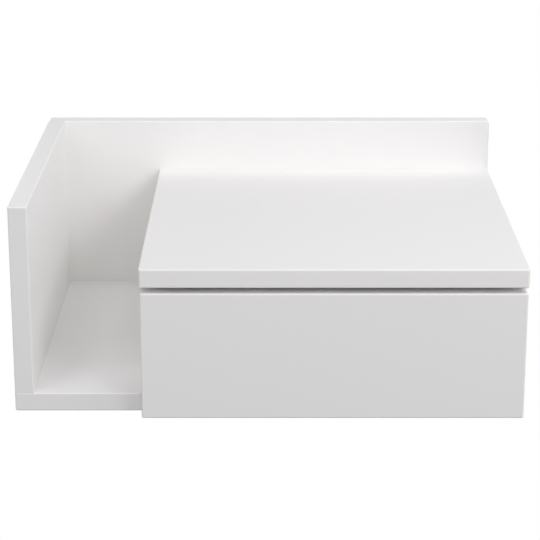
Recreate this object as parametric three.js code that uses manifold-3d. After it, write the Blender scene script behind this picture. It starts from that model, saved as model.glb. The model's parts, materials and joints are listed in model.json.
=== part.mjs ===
// Wall-hung bedside cabinet: an open compartment at the left, and a drawer under a lower top board
// at the right. Millimetres, X to the right, Y back to the wall, Z up. The origin is the middle of
// the back panel's rear face, which lies on the wall.
import * as THREE from "three";
import { mergeVertices, toCreasedNormals } from "three/addons/utils/BufferGeometryUtils.js";
import Module from "manifold-3d";

const library = await Module();
library.setup();

// Case
const CASE_WIDTH = 400;
const CASE_DEPTH = 320; // wall to the drawer's face
const CASE_HEIGHT = 167;
const BOARD = 15; // thickness of the lacquered boards
const TOP_DROP = 45; // upper edge of the back down to the top board's surface
const NICHE_WIDTH = 85; // clear width of the open compartment
const SEAM = 0.1; // hairline where two pieces meet
const FIT = 0.3; // clearance round a fastener, and in a groove
const OVERRUN = 2; // how far a cut runs past the face that it starts from

// Edges of the boards
const BACK_CORNER = 2.8; // upper and lower corners of the back panel
const TOP_CORNER = 2.2; // front corners of the top board
const EDGE_EASE = 1.2; // edges that show
const SEAM_EASE = 0.4; // edges that lie against another board
const ROUND_STEPS = 3;
const ROUND_SIDES = 10;
const CREASE = Math.PI / 5; // a sharper turn between two faces is drawn as an edge

// Drawer front
const FRONT_THICKNESS = 15;
const FRONT_GAP = 1; // between the closed front and the case
const FRONT_TOP_GAP = 4.4; // slit under the top board
const FRONT_INSET = 0.7; // front's ends inside the top board's ends
const FRONT_EASE = 1;
const BUMPER_RADIUS = 4;
const BUMPER_DROP = 17; // top board's underside to the middle of a bumper

// Drawer box
const BOX_BOARD = 12;
const BOX_EASE = 0.8;
const BOX_LIFT = 10; // bottom board to the box
const BOX_HEADROOM = 14; // box to the top board
const BOX_REAR_ROOM = 30; // box to the back panel
const BOX_FLOOR = 3;
const GROOVE_DEPTH = 6;
const GROOVE_LIFT = 9; // lower edge of the box to its groove
const FRONT_SCREW_SPAN = 140;

// Ball-bearing runners
const RUNNER_SPACE = 10; // case side to drawer side
const RUNNER_HEIGHT = 27;
const RUNNER_STEEL = 1;
const RUNNER_LIP = 1; // inward lip past the flange
const RUNNER_LIP_SETBACK = 1.4; // lip to the drawer side
const RUNNER_SETBACK = 2; // front edge of the case to the runner
const RUNNER_REAR_ROOM = 37; // runner to the back panel
const TRAVEL_SHARE = 0.72; // three-quarter extension, of the runner's length
const BALL_RADIUS = 2;
const BALL_PITCH = 9;
const BALL_CLEARANCE = 0.15;
const BALL_SIDES = 8;
const BALL_BANDS = 4;
const CAGE_STEEL = 0.6;
const CAGE_GAP = 0.5; // case member's web to the cage
const CAGE_MARGIN = 4; // end of the cage to its last ball
const CAGE_END_ROOM = 3; // cage to the end of its run
const CAGE_REACH = 2.4; // flange of the cage past the middle of the balls
const FLANGE_GAP = 0.7; // cage's web to the drawer member's flanges
const CASE_MEMBER_SCREW = 37; // runner's front end to its first screw
const DRAWER_MEMBER_SCREW = 48;
const RUNNER_SCREW_PITCH = 128;

// Screws, measured from the face of a flat head or the seat of a pan head to the tip
const CASE_SCREW = { headRadius: 4, headHeight: 3.2, shankRadius: 2.5, length: 45, tip: 4 };
const RUNNER_SCREW = { headRadius: 3.2, headHeight: 1.8, shankRadius: 1.6, length: 12, tip: 3 };
const DRAWER_SCREW = { headRadius: 3.4, headHeight: 2, shankRadius: 1.6, length: 10, tip: 3 };
const FRONT_SCREW = { headRadius: 4, headHeight: 2.4, shankRadius: 2, length: 21, tip: 4 };
const HANGER_SCREW = { headRadius: 2.9, headHeight: 1.5, shankRadius: 1.4, length: 11, tip: 3 };
const CROSS_REACH_SHARE = 0.6; // arms of the cross recess, of the head's radius
const CROSS_WIDTH_SHARE = 0.16;
const CROSS_DEPTH_SHARE = 0.6; // of the head's height
const PAN_SHOULDER_SHARE = 0.45; // straight side of a pan head, of its height
const PAN_CROWN_SHARE = 0.6; // flat crown, of the head's radius

// Places of the screws that hold the case
const UPRIGHT_SCREW_INSET = 50; // ends of an upright board to the fixings in its edges
const SIDE_SCREW_INSET = 30; // ends of the left side to its two rear screws
const BOTTOM_SCREW_INSET = 50; // ends of the case to the rear screws of the bottom board
const TOP_SCREW_INSET = 35; // ends of the top board to its rear screws

// Cam fittings between the top board and the uprights
const CAM_RADIUS = 7.5;
const CAM_WALL = 2.5; // board left behind a cam
const CAM_SLOT_RADIUS = 5.5;
const CAM_SLOT_DEPTH = 2;
const BOLT_REACH = 24; // top board to the middle of the cam
const BOLT_HEAD_RADIUS = 3.2;
const BOLT_HEAD_LENGTH = 4;
const BOLT_NECK_RADIUS = 2;
const BOLT_NECK_LENGTH = 4;
const BOLT_SHAFT_RADIUS = 2.8;
const BOLT_THREAD_RADIUS = 3.2;
const BOLT_THREAD_LENGTH = 10;

// Keyhole hangers let into the rear face
const HANGER_WIDTH = 16;
const HANGER_HEIGHT = 40;
const HANGER_STEEL = 1.5;
const HANGER_ROUND = 3;
const HANGER_INSET = 50; // ends of the back to the middles of the hangers
const HANGER_TOP_MARGIN = 4; // upper edge of the back to a hanger
const HANGER_SCREW_INSET = 4.5;
const KEYHOLE_ENTRY_RADIUS = 4.75;
const KEYHOLE_SLOT_RADIUS = 2.5;
const KEYHOLE_RISE = 10; // middle of the entry to the upper end of the slot
const KEYHOLE_STEPS = 10;
const POCKET_DEPTH = 8; // room behind the plate for a wall screw's head
const POCKET_MARGIN = 1;

// Planes of the case, with its underside at zero
const RIGHT = CASE_WIDTH / 2;
const LEFT = -RIGHT;
const FRONT = -CASE_DEPTH;
const FRONT_REAR = FRONT + FRONT_THICKNESS;
const CASE_FRONT = FRONT_REAR + FRONT_GAP;
const BACK_FACE = -(BOARD + SEAM);
const TOP_SURFACE = CASE_HEIGHT - TOP_DROP;
const TOP_UNDERSIDE = TOP_SURFACE - BOARD;
const DIVIDER_LEFT = LEFT + BOARD + NICHE_WIDTH;
const DIVIDER_RIGHT = DIVIDER_LEFT + BOARD;
const SIDE_LEFT = RIGHT - BOARD;
const UPRIGHT_LOW = BOARD + SEAM;
const UPRIGHT_HIGH = TOP_UNDERSIDE - SEAM;
const UPRIGHT_MIDDLES = {
  left_side: LEFT + BOARD / 2,
  divider: DIVIDER_LEFT + BOARD / 2,
  right_side: SIDE_LEFT + BOARD / 2,
};
const UPRIGHT_ENDS = { front: CASE_FRONT + UPRIGHT_SCREW_INSET, rear: BACK_FACE - UPRIGHT_SCREW_INSET };

// Planes of the drawer
const BOX_LEFT = DIVIDER_RIGHT + RUNNER_SPACE;
const BOX_RIGHT = SIDE_LEFT - RUNNER_SPACE;
const BOX_FRONT = FRONT_REAR + SEAM;
const BOX_REAR = BACK_FACE - BOX_REAR_ROOM;
const BOX_LOW = BOARD + BOX_LIFT;
const BOX_HIGH = TOP_UNDERSIDE - BOX_HEADROOM;
const BOX_INNER_LEFT = BOX_LEFT + BOX_BOARD;
const BOX_INNER_RIGHT = BOX_RIGHT - BOX_BOARD;
const BOX_INNER_FRONT = BOX_FRONT + BOX_BOARD;
const BOX_INNER_REAR = BOX_REAR - BOX_BOARD;
const BOX_CENTRE = (BOX_LEFT + BOX_RIGHT) / 2;
const BOX_MIDDLE = (BOX_LOW + BOX_HIGH) / 2;

// Runners, each drawn in its own frame: X from the upright to the drawer, Y from its rear end, Z from
// its middle height
const RUNNER_REAR = BACK_FACE - RUNNER_REAR_ROOM;
const RUNNER_LENGTH = RUNNER_REAR - CASE_FRONT - RUNNER_SETBACK;
const RUNNER_WEB = SEAM + RUNNER_STEEL;
const RUNNER_OUTER = RUNNER_SPACE - SEAM;
const RUNNER_SEAT = RUNNER_OUTER - RUNNER_STEEL;
const BALL_ACROSS = RUNNER_SPACE / 2;
const BALL_HEIGHT = RUNNER_HEIGHT / 2 - RUNNER_STEEL - BALL_RADIUS - BALL_CLEARANCE;
const CAGE_WEB = RUNNER_WEB + CAGE_GAP;
const CAGE_LENGTH = RUNNER_LENGTH - RUNNER_LENGTH * TRAVEL_SHARE - CAGE_END_ROOM * 2;

const X = new THREE.Vector3(1, 0, 0);
const Y = new THREE.Vector3(0, 1, 0);
const Z = new THREE.Vector3(0, 0, 1);
const LEFTWARD = X.clone().negate();
const FORWARD = Y.clone().negate();
const AXES = [X, Y, Z];
const FACES = [["left", "right"], ["front", "rear"], ["under", "top"]];

const lacquer = new THREE.MeshStandardMaterial({ color: 0xeeeeed, roughness: 0.42 });
const boxWhite = new THREE.MeshStandardMaterial({ color: 0xe2e1de, roughness: 0.55 });
const hardboard = new THREE.MeshStandardMaterial({ color: 0xdad8d3, roughness: 0.6 });
const zincSteel = new THREE.MeshStandardMaterial({ color: 0xb4b8bc, roughness: 0.34, metalness: 1 });
const castZinc = new THREE.MeshStandardMaterial({ color: 0x9c9fa2, roughness: 0.45, metalness: 1 });
const screwSteel = new THREE.MeshStandardMaterial({ color: 0xc9c6b8, roughness: 0.3, metalness: 1 });
const softPad = new THREE.MeshStandardMaterial({ color: 0xd9dcdc, roughness: 0.7 });

const cabinet = new THREE.Group();
cabinet.position.z = -CASE_HEIGHT / 2;

function point(x, y, z) {
  return new THREE.Vector3(x, y, z);
}

function solidFrom(geometry) {
  const bare = geometry.clone();
  bare.deleteAttribute("normal");
  bare.deleteAttribute("uv");
  const merged = mergeVertices(bare);
  const vertProperties = merged.attributes.position.array;
  const triVerts = new Uint32Array(merged.index.array);
  return new library.Manifold(new library.Mesh({ numProp: 3, vertProperties, triVerts }));
}

function geometryFrom(solid) {
  const { vertProperties, triVerts } = solid.getMesh();
  const geometry = new THREE.BufferGeometry();
  geometry.setAttribute("position", new THREE.BufferAttribute(vertProperties, 3));
  geometry.setIndex(new THREE.BufferAttribute(triVerts, 1));
  return toCreasedNormals(geometry, CREASE);
}

function add(parent, name, geometry, material, place = new THREE.Matrix4()) {
  const mesh = new THREE.Mesh(geometry, material);
  mesh.name = name;
  mesh.applyMatrix4(place);
  parent.add(mesh);
}

// Stands something drawn about Z at a point, with its Z along a direction
function facing(at, direction) {
  const turn = new THREE.Quaternion().setFromUnitVectors(Z, direction);
  return new THREE.Matrix4().compose(at, turn, new THREE.Vector3(1, 1, 1));
}

// A solid of revolution about Z, from a profile of radius and height that starts and ends on the axis
function turned(profile) {
  const points = profile.map(([radius, height]) => new THREE.Vector2(radius, height));
  return new THREE.LatheGeometry(points, ROUND_SIDES).rotateX(Math.PI / 2);
}

function shapeOf(outline) {
  return new THREE.Shape(outline.map(([x, y]) => new THREE.Vector2(x, y)));
}

// A shape in X and Z, drawn out forwards from its rear end
function drawnForward(shape, length) {
  return new THREE.ExtrudeGeometry(shape, { depth: length, bevelEnabled: false }).rotateX(Math.PI / 2);
}

function plainBox(low, high) {
  const size = high.clone().sub(low);
  const middle = low.clone().add(high).divideScalar(2);
  return solidFrom(new THREE.BoxGeometry(size.x, size.y, size.z).translate(middle.x, middle.y, middle.z));
}

// Points of an arc, from one angle to another in quarter turns
function arc(x, y, radius, from, to, steps) {
  const quarters = Array.from({ length: steps + 1 }, (_, step) => from + ((to - from) * step) / steps);
  const angles = quarters.map((quarter) => (quarter * Math.PI) / 2);
  return angles.map((angle) => [x + radius * Math.cos(angle), y + radius * Math.sin(angle)]);
}

// A rectangle with its own radius at each corner, in turn from the low corner
function roundedOutline([lowX, lowY], [highX, highY], radii) {
  const [first, second, third, fourth] = radii;
  const steps = radii.map((radius) => (radius > SEAM_EASE ? ROUND_STEPS : 1));
  return [
    ...arc(lowX + first, lowY + first, first, 2, 3, steps[0]),
    ...arc(highX - second, lowY + second, second, 3, 4, steps[1]),
    ...arc(highX - third, highY - third, third, 0, 1, steps[2]),
    ...arc(lowX + fourth, highY - fourth, fourth, 1, 2, steps[3]),
  ];
}

// A box with rounded edges, where three prisms cross. An edge named in seams, by one or both of its
// faces, is only broken. Corner rounds the edges across the thickness, and ease the others.
function easedBox(low, high, { seams = [], corner = EDGE_EASE, ease = EDGE_EASE }) {
  const sizes = high.clone().sub(low).toArray();
  const across = sizes.indexOf(Math.min(...sizes));
  const prisms = AXES.map((axis, index) => {
    const [first, second] = [(index + 1) % 3, (index + 2) % 3];
    const radii = [[0, 0], [1, 0], [1, 1], [0, 1]].map(([i, j]) => {
      const faces = [FACES[first][i], FACES[second][j]];
      const meets = seams.some((names) => names.every((name) => faces.includes(name)));
      if (meets) return SEAM_EASE;
      return index === across ? corner : ease;
    });
    const [start, end] = [low, high].map((at) => [at.getComponent(first), at.getComponent(second)]);
    const shape = shapeOf(roundedOutline(start, end, radii));
    const prism = new THREE.ExtrudeGeometry(shape, { depth: sizes[index], bevelEnabled: false });
    const place = new THREE.Matrix4().makeBasis(AXES[first], AXES[second], axis);
    place.setPosition(axis.clone().multiplyScalar(low.getComponent(index)));
    return solidFrom(prism.applyMatrix4(place));
  });
  return prisms[0].intersect(prisms[1]).intersect(prisms[2]);
}

// A solid that was made in its place, in a mesh that stands at its middle
function stand(name, solid, material) {
  const { min, max } = solid.boundingBox();
  const middle = new THREE.Vector3(...min).add(new THREE.Vector3(...max)).divideScalar(2);
  const geometry = geometryFrom(solid).translate(-middle.x, -middle.y, -middle.z);
  add(cabinet, name, geometry, material, new THREE.Matrix4().setPosition(middle));
}

function cutFrom(blank, cuts) {
  return cuts.reduce((solid, cut) => solid.subtract(cut), blank);
}

function board(name, low, high, edges, cuts, material = lacquer) {
  stand(name, cutFrom(easedBox(low, high, edges), cuts), material);
}

function crossCut(reach, half, depth, face) {
  const quarter = [[half, half], [half, reach], [-half, reach]];
  const outline = [[1, 0], [0, 1], [-1, 0], [0, -1]].flatMap(([cos, sin]) =>
    quarter.map(([x, y]) => [x * cos - y * sin, x * sin + y * cos]));
  const cut = new THREE.ExtrudeGeometry(shapeOf(outline), { depth: depth + OVERRUN, bevelEnabled: false });
  return cut.translate(0, 0, face - OVERRUN);
}

function withRecess(body, { headRadius, headHeight }, face) {
  const reach = headRadius * CROSS_REACH_SHARE;
  const half = headRadius * CROSS_WIDTH_SHARE;
  const recess = crossCut(reach, half, headHeight * CROSS_DEPTH_SHARE, face);
  return geometryFrom(solidFrom(body).subtract(solidFrom(recess)));
}

// A flat-headed screw along Z with its face at zero, and the hole that it is driven into
function flatScrew(size) {
  const { headRadius, headHeight, shankRadius, length, tip } = size;
  const head = headRadius + FIT;
  const shank = shankRadius + FIT;
  const end = length + FIT;
  const body = turned([
    [0, 0], [headRadius, 0], [shankRadius, headHeight], [shankRadius, length - tip], [0, length],
  ]);
  const hole = turned([
    [0, -OVERRUN], [head, -OVERRUN], [head, 0], [shank, headHeight], [shank, end], [0, end],
  ]);
  return { shape: withRecess(body, size, 0), hole };
}

// A pan-headed screw along Z with its seat at zero, and the hole for its shank
function panScrew(size) {
  const { headRadius, headHeight, shankRadius, length, tip } = size;
  const shank = shankRadius + FIT;
  const end = length + FIT;
  const crown = headRadius * PAN_CROWN_SHARE;
  const shoulder = headHeight * PAN_SHOULDER_SHARE;
  const body = turned([
    [0, -headHeight], [crown, -headHeight], [headRadius, -shoulder], [headRadius, 0],
    [shankRadius, 0], [shankRadius, length - tip], [0, length],
  ]);
  const hole = turned([[0, -OVERRUN], [shank, -OVERRUN], [shank, end], [0, end]]);
  return { shape: withRecess(body, size, -headHeight), hole };
}

function addScrews(parent, { shape }, places) {
  for (const { name, at, into } of places) add(parent, name, shape, screwSteel, facing(at, into));
}

function holesFor({ hole }, places, frame = new THREE.Matrix4()) {
  return places.map(({ at, into }) => {
    const place = frame.clone().multiply(facing(at, into));
    return solidFrom(hole.clone().applyMatrix4(place));
  });
}

// Screws that hold the case: up through the bottom board, and forwards through the back panel
const caseScrew = flatScrew(CASE_SCREW);
const bottomScrewPlaces = Object.entries(UPRIGHT_MIDDLES).flatMap(([upright, x]) =>
  Object.entries(UPRIGHT_ENDS).map(([end, y]) => (
    { name: `bottom_to_${upright}_${end}_screw`, at: point(x, y, SEAM), into: Z }
  )));
const rearScrewPlaces = [
  ["back_to_left_side_low_screw", UPRIGHT_MIDDLES.left_side, BOARD + SIDE_SCREW_INSET],
  ["back_to_left_side_high_screw", UPRIGHT_MIDDLES.left_side, CASE_HEIGHT - SIDE_SCREW_INSET],
  ["back_to_bottom_left_screw", LEFT + BOTTOM_SCREW_INSET, BOARD / 2],
  ["back_to_bottom_middle_screw", 0, BOARD / 2],
  ["back_to_bottom_right_screw", RIGHT - BOTTOM_SCREW_INSET, BOARD / 2],
  ["back_to_top_left_screw", DIVIDER_LEFT + TOP_SCREW_INSET, TOP_SURFACE - BOARD / 2],
  ["back_to_top_right_screw", RIGHT - TOP_SCREW_INSET, TOP_SURFACE - BOARD / 2],
  ["back_to_divider_screw", UPRIGHT_MIDDLES.divider, (UPRIGHT_LOW + UPRIGHT_HIGH) / 2],
  ["back_to_right_side_screw", UPRIGHT_MIDDLES.right_side, (UPRIGHT_LOW + UPRIGHT_HIGH) / 2],
].map(([name, x, z]) => ({ name, at: point(x, -SEAM, z), into: FORWARD }));
addScrews(cabinet, caseScrew, [...bottomScrewPlaces, ...rearScrewPlaces]);
const caseHoles = holesFor(caseScrew, [...bottomScrewPlaces, ...rearScrewPlaces]);

// Cam fittings: a bolt stands in the top board, with its head in a cam let into an upright's face
function camFittings() {
  const camDepth = BOARD - CAM_WALL;
  const end = -BOLT_REACH - BOLT_HEAD_LENGTH / 2;
  const neck = end + BOLT_HEAD_LENGTH;
  const collar = neck + BOLT_NECK_LENGTH;
  const bolt = turned([
    [0, end], [BOLT_HEAD_RADIUS, end], [BOLT_HEAD_RADIUS, neck], [BOLT_NECK_RADIUS, neck],
    [BOLT_NECK_RADIUS, collar], [BOLT_SHAFT_RADIUS, collar], [BOLT_SHAFT_RADIUS, 0],
    [BOLT_THREAD_RADIUS, 0], [BOLT_THREAD_RADIUS, BOLT_THREAD_LENGTH], [0, BOLT_THREAD_LENGTH],
  ]);
  const bore = BOLT_THREAD_RADIUS + FIT;
  const top = BOLT_THREAD_LENGTH + FIT;
  const boltHole = turned([[0, end - FIT], [bore, end - FIT], [bore, top], [0, top]]);
  const cam = turned([[0, FIT], [CAM_RADIUS, FIT], [CAM_RADIUS, camDepth], [0, camDepth]]);
  const camSlot = crossCut(CAM_SLOT_RADIUS, CAM_SLOT_RADIUS * CROSS_WIDTH_SHARE, CAM_SLOT_DEPTH, FIT);
  const bed = CAM_RADIUS + FIT;
  const camHole = turned([[0, -OVERRUN], [bed, -OVERRUN], [bed, camDepth + FIT], [0, camDepth + FIT]]);
  const uprights = [["divider", DIVIDER_RIGHT, LEFTWARD], ["right_side", SIDE_LEFT, X]];
  return uprights.flatMap(([upright, face, into]) => Object.entries(UPRIGHT_ENDS).flatMap(([end, y]) => {
    const boltPlace = new THREE.Matrix4().setPosition(UPRIGHT_MIDDLES[upright], y, TOP_UNDERSIDE);
    const camPlace = facing(point(face, y, TOP_UNDERSIDE - BOLT_REACH), into);
    const [hole, body, slot, room] = [
      [boltHole, boltPlace], [cam, camPlace], [camSlot, camPlace], [camHole, camPlace],
    ].map(([shape, place]) => solidFrom(shape.clone().applyMatrix4(place)));
    add(cabinet, `${upright}_${end}_cam_bolt`, bolt, screwSteel, boltPlace);
    stand(`${upright}_${end}_cam`, body.subtract(slot).subtract(hole), castZinc);
    return [hole, room];
  }));
}
const camHoles = camFittings();

// One runner: a channel on the case, a channel on the drawer and a cage of balls between them. A
// section is given by its lower half, and the upper half mirrors it.
function channel(lowerHalf, length) {
  const upperHalf = lowerHalf.map(([x, z]) => [x, -z]).reverse();
  return drawnForward(shapeOf([...lowerHalf, ...upperHalf]), length);
}

function caseMember() {
  const half = RUNNER_HEIGHT / 2;
  const edge = RUNNER_SPACE - RUNNER_LIP_SETBACK;
  const race = half - RUNNER_STEEL;
  const inside = edge - RUNNER_STEEL;
  const lip = RUNNER_LIP - race;
  return channel([
    [SEAM, -half], [edge, -half], [edge, lip], [inside, lip], [inside, -race], [RUNNER_WEB, -race],
  ], RUNNER_LENGTH);
}

function drawerMember() {
  const half = BALL_HEIGHT - BALL_RADIUS - BALL_CLEARANCE;
  const edge = CAGE_WEB + CAGE_STEEL + FLANGE_GAP;
  const inside = RUNNER_STEEL - half;
  const section = [[RUNNER_SEAT, inside], [edge, inside], [edge, -half], [RUNNER_OUTER, -half]];
  return channel(section, RUNNER_LENGTH);
}

function ballCage() {
  const outside = BALL_HEIGHT + CAGE_STEEL / 2;
  const inside = BALL_HEIGHT - CAGE_STEEL / 2;
  const reach = BALL_ACROSS + CAGE_REACH;
  const web = CAGE_WEB + CAGE_STEEL;
  const section = [[CAGE_WEB, -outside], [reach, -outside], [reach, -inside], [web, -inside]];
  const strip = channel(section, CAGE_LENGTH);
  const count = Math.floor((CAGE_LENGTH - CAGE_MARGIN * 2) / BALL_PITCH) + 1;
  const rows = [-BALL_HEIGHT, BALL_HEIGHT];
  const places = rows.flatMap((z) => Array.from({ length: count }, (_, ball) =>
    point(BALL_ACROSS, (ball - (count - 1) / 2) * BALL_PITCH - CAGE_LENGTH / 2, z)));
  const ball = new THREE.SphereGeometry(BALL_RADIUS, BALL_SIDES, BALL_BANDS).rotateX(Math.PI / 2);
  const balls = places.map((at) => solidFrom(ball.clone().translate(at.x, at.y, at.z)));
  return geometryFrom(balls.reduce((solid, each) => solid.add(each), solidFrom(strip)));
}

const runnerScrew = flatScrew(RUNNER_SCREW);
const drawerScrew = panScrew(DRAWER_SCREW);
const memberShapes = [caseMember(), drawerMember(), ballCage()];

function runner(side, frame) {
  const group = new THREE.Group();
  group.applyMatrix4(frame);
  cabinet.add(group);
  const placesFrom = (member, first, x, into) => ["front", "rear"].map((end, index) => ({
    name: `${side}_runner_${member}_${end}_screw`,
    at: point(x, first + RUNNER_SCREW_PITCH * index - RUNNER_LENGTH, 0),
    into,
  }));
  const casePlaces = placesFrom("case", CASE_MEMBER_SCREW, RUNNER_WEB, LEFTWARD);
  const drawerPlaces = placesFrom("drawer", DRAWER_MEMBER_SCREW, RUNNER_SEAT - SEAM, X);
  const [caseShape, drawerShape, cageShape] = memberShapes;
  const drilledCase = cutFrom(solidFrom(caseShape), holesFor(runnerScrew, casePlaces));
  const drilledDrawer = cutFrom(solidFrom(drawerShape), holesFor(drawerScrew, drawerPlaces));
  add(group, `${side}_runner_case_member`, geometryFrom(drilledCase), zincSteel);
  add(group, `${side}_runner_drawer_member`, geometryFrom(drilledDrawer), zincSteel);
  const cagePlace = new THREE.Matrix4().setPosition(0, (CAGE_LENGTH - RUNNER_LENGTH) / 2, 0);
  add(group, `${side}_runner_ball_cage`, cageShape, zincSteel, cagePlace);
  addScrews(group, runnerScrew, casePlaces);
  addScrews(group, drawerScrew, drawerPlaces);
  return {
    inCase: holesFor(runnerScrew, casePlaces, frame),
    inDrawer: holesFor(drawerScrew, drawerPlaces, frame),
  };
}

const leftFrame = new THREE.Matrix4().setPosition(DIVIDER_RIGHT, RUNNER_REAR, BOX_MIDDLE);
const halfTurn = new THREE.Matrix4().makeRotationY(Math.PI);
const rightFrame = halfTurn.setPosition(SIDE_LEFT, RUNNER_REAR, BOX_MIDDLE);
const leftRunner = runner("left", leftFrame);
const rightRunner = runner("right", rightFrame);

// Keyhole hangers: a plate let in flush, with a pocket behind it for the wall screw's head
function hangers() {
  const height = CASE_HEIGHT - HANGER_TOP_MARGIN - HANGER_HEIGHT / 2;
  const entry = -KEYHOLE_RISE / 2;
  const lean = Math.asin(KEYHOLE_SLOT_RADIUS / KEYHOLE_ENTRY_RADIUS) / (Math.PI / 2);
  const plateOutline = (grow) => {
    const [x, z, radius] = [HANGER_WIDTH / 2 + grow, HANGER_HEIGHT / 2 + grow, HANGER_ROUND + grow];
    return shapeOf(roundedOutline([-x, -z], [x, z], [radius, radius, radius, radius]));
  };
  const keyhole = shapeOf([
    ...arc(0, entry, KEYHOLE_ENTRY_RADIUS, 1 + lean, 5 - lean, KEYHOLE_STEPS),
    ...arc(0, entry + KEYHOLE_RISE, KEYHOLE_SLOT_RADIUS, 0, 2, KEYHOLE_STEPS / 2),
  ]);
  const screw = flatScrew(HANGER_SCREW);
  const screwHeight = HANGER_HEIGHT / 2 - HANGER_SCREW_INSET;
  const bed = SEAM + HANGER_STEEL + SEAM;
  const pocketX = KEYHOLE_ENTRY_RADIUS + POCKET_MARGIN;
  const pocketZ = KEYHOLE_RISE / 2 + KEYHOLE_ENTRY_RADIUS + POCKET_MARGIN;
  return [["left", LEFT + HANGER_INSET], ["right", RIGHT - HANGER_INSET]].flatMap(([side, x]) => {
    const frame = new THREE.Matrix4().setPosition(x, 0, height);
    const group = new THREE.Group();
    group.applyMatrix4(frame);
    cabinet.add(group);
    const places = [["upper", screwHeight], ["lower", -screwHeight]]
      .map(([end, z]) => ({ name: `${side}_hanger_${end}_screw`, at: point(0, -SEAM, z), into: FORWARD }));
    const blank = solidFrom(drawnForward(plateOutline(0), HANGER_STEEL).translate(0, -SEAM, 0));
    const window = solidFrom(drawnForward(keyhole, HANGER_STEEL + OVERRUN * 2).translate(0, OVERRUN, 0));
    const plate = cutFrom(blank, [window, ...holesFor(screw, places)]);
    add(group, `${side}_hanger`, geometryFrom(plate), zincSteel);
    addScrews(group, screw, places);
    const recess = drawnForward(plateOutline(FIT), bed + OVERRUN).translate(x, OVERRUN, height);
    const pocketLow = point(x - pocketX, -bed - POCKET_DEPTH, height - pocketZ);
    const pocket = plainBox(pocketLow, point(x + pocketX, 0, height + pocketZ));
    return [solidFrom(recess), pocket, ...holesFor(screw, places, frame)];
  });
}
const hangerCuts = hangers();

// Case boards
board("back_panel",
  point(LEFT, -BOARD, 0),
  point(RIGHT, 0, CASE_HEIGHT),
  { corner: BACK_CORNER }, [...caseHoles, ...hangerCuts]);
board("bottom_board",
  point(LEFT, CASE_FRONT, 0),
  point(RIGHT, BACK_FACE, BOARD),
  { seams: [["rear"], ["left", "top"], ["right", "top"]] }, caseHoles);
board("left_side_panel",
  point(LEFT, CASE_FRONT, UPRIGHT_LOW),
  point(LEFT + BOARD, BACK_FACE, CASE_HEIGHT),
  { seams: [["rear"], ["under"]] }, caseHoles);
board("divider_panel",
  point(DIVIDER_LEFT, CASE_FRONT, UPRIGHT_LOW),
  point(DIVIDER_RIGHT, BACK_FACE, UPRIGHT_HIGH),
  { seams: [["rear"], ["under"], ["top"]] }, [...caseHoles, ...camHoles, ...leftRunner.inCase]);
board("right_side_panel",
  point(SIDE_LEFT, CASE_FRONT, UPRIGHT_LOW),
  point(RIGHT, BACK_FACE, UPRIGHT_HIGH),
  { seams: [["rear"], ["under"], ["top"]] }, [...caseHoles, ...camHoles, ...rightRunner.inCase]);
board("top_board",
  point(DIVIDER_LEFT, FRONT, TOP_UNDERSIDE),
  point(RIGHT, BACK_FACE, TOP_SURFACE),
  { seams: [["rear"]], corner: TOP_CORNER }, [...caseHoles, ...camHoles]);

// Drawer: a front screwed to a four-sided box, with its floor in a groove
const frontScrew = panScrew(FRONT_SCREW);
const frontScrewPlaces = [["left", -1], ["right", 1]].map(([side, sign]) => ({
  name: `drawer_front_${side}_screw`,
  at: point(BOX_CENTRE + (sign * FRONT_SCREW_SPAN) / 2, BOX_INNER_FRONT + SEAM, BOX_MIDDLE),
  into: FORWARD,
}));
addScrews(cabinet, frontScrew, frontScrewPlaces);
const frontScrewHoles = holesFor(frontScrew, frontScrewPlaces);
const grooveLow = BOX_LOW + GROOVE_LIFT;
const groove = plainBox(
  point(BOX_INNER_LEFT - GROOVE_DEPTH, BOX_INNER_FRONT - GROOVE_DEPTH, grooveLow),
  point(BOX_INNER_RIGHT + GROOVE_DEPTH, BOX_INNER_REAR + GROOVE_DEPTH, grooveLow + BOX_FLOOR + FIT * 2),
);
const boxEdges = { corner: BOX_EASE, ease: BOX_EASE };
board("drawer_front",
  point(DIVIDER_LEFT + FRONT_INSET, FRONT, 0),
  point(RIGHT - FRONT_INSET, FRONT_REAR, TOP_UNDERSIDE - FRONT_TOP_GAP),
  { corner: FRONT_EASE, ease: FRONT_EASE }, frontScrewHoles);
board("drawer_left_side",
  point(BOX_LEFT, BOX_FRONT, BOX_LOW),
  point(BOX_INNER_LEFT, BOX_REAR, BOX_HIGH),
  boxEdges, [groove, ...leftRunner.inDrawer], boxWhite);
board("drawer_right_side",
  point(BOX_INNER_RIGHT, BOX_FRONT, BOX_LOW),
  point(BOX_RIGHT, BOX_REAR, BOX_HIGH),
  boxEdges, [groove, ...rightRunner.inDrawer], boxWhite);
board("drawer_inner_front",
  point(BOX_INNER_LEFT + SEAM, BOX_FRONT, BOX_LOW),
  point(BOX_INNER_RIGHT - SEAM, BOX_INNER_FRONT, BOX_HIGH),
  { seams: [["left"], ["right"]], ease: BOX_EASE }, [groove, ...frontScrewHoles], boxWhite);
board("drawer_back",
  point(BOX_INNER_LEFT + SEAM, BOX_INNER_REAR, BOX_LOW),
  point(BOX_INNER_RIGHT - SEAM, BOX_REAR, BOX_HIGH),
  { seams: [["left"], ["right"]], ease: BOX_EASE }, [groove], boxWhite);
const floorReach = GROOVE_DEPTH - FIT;
stand("drawer_floor", plainBox(
  point(BOX_INNER_LEFT - floorReach, BOX_INNER_FRONT - floorReach, grooveLow + FIT),
  point(BOX_INNER_RIGHT + floorReach, BOX_INNER_REAR + floorReach, grooveLow + FIT + BOX_FLOOR),
), hardboard);

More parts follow.
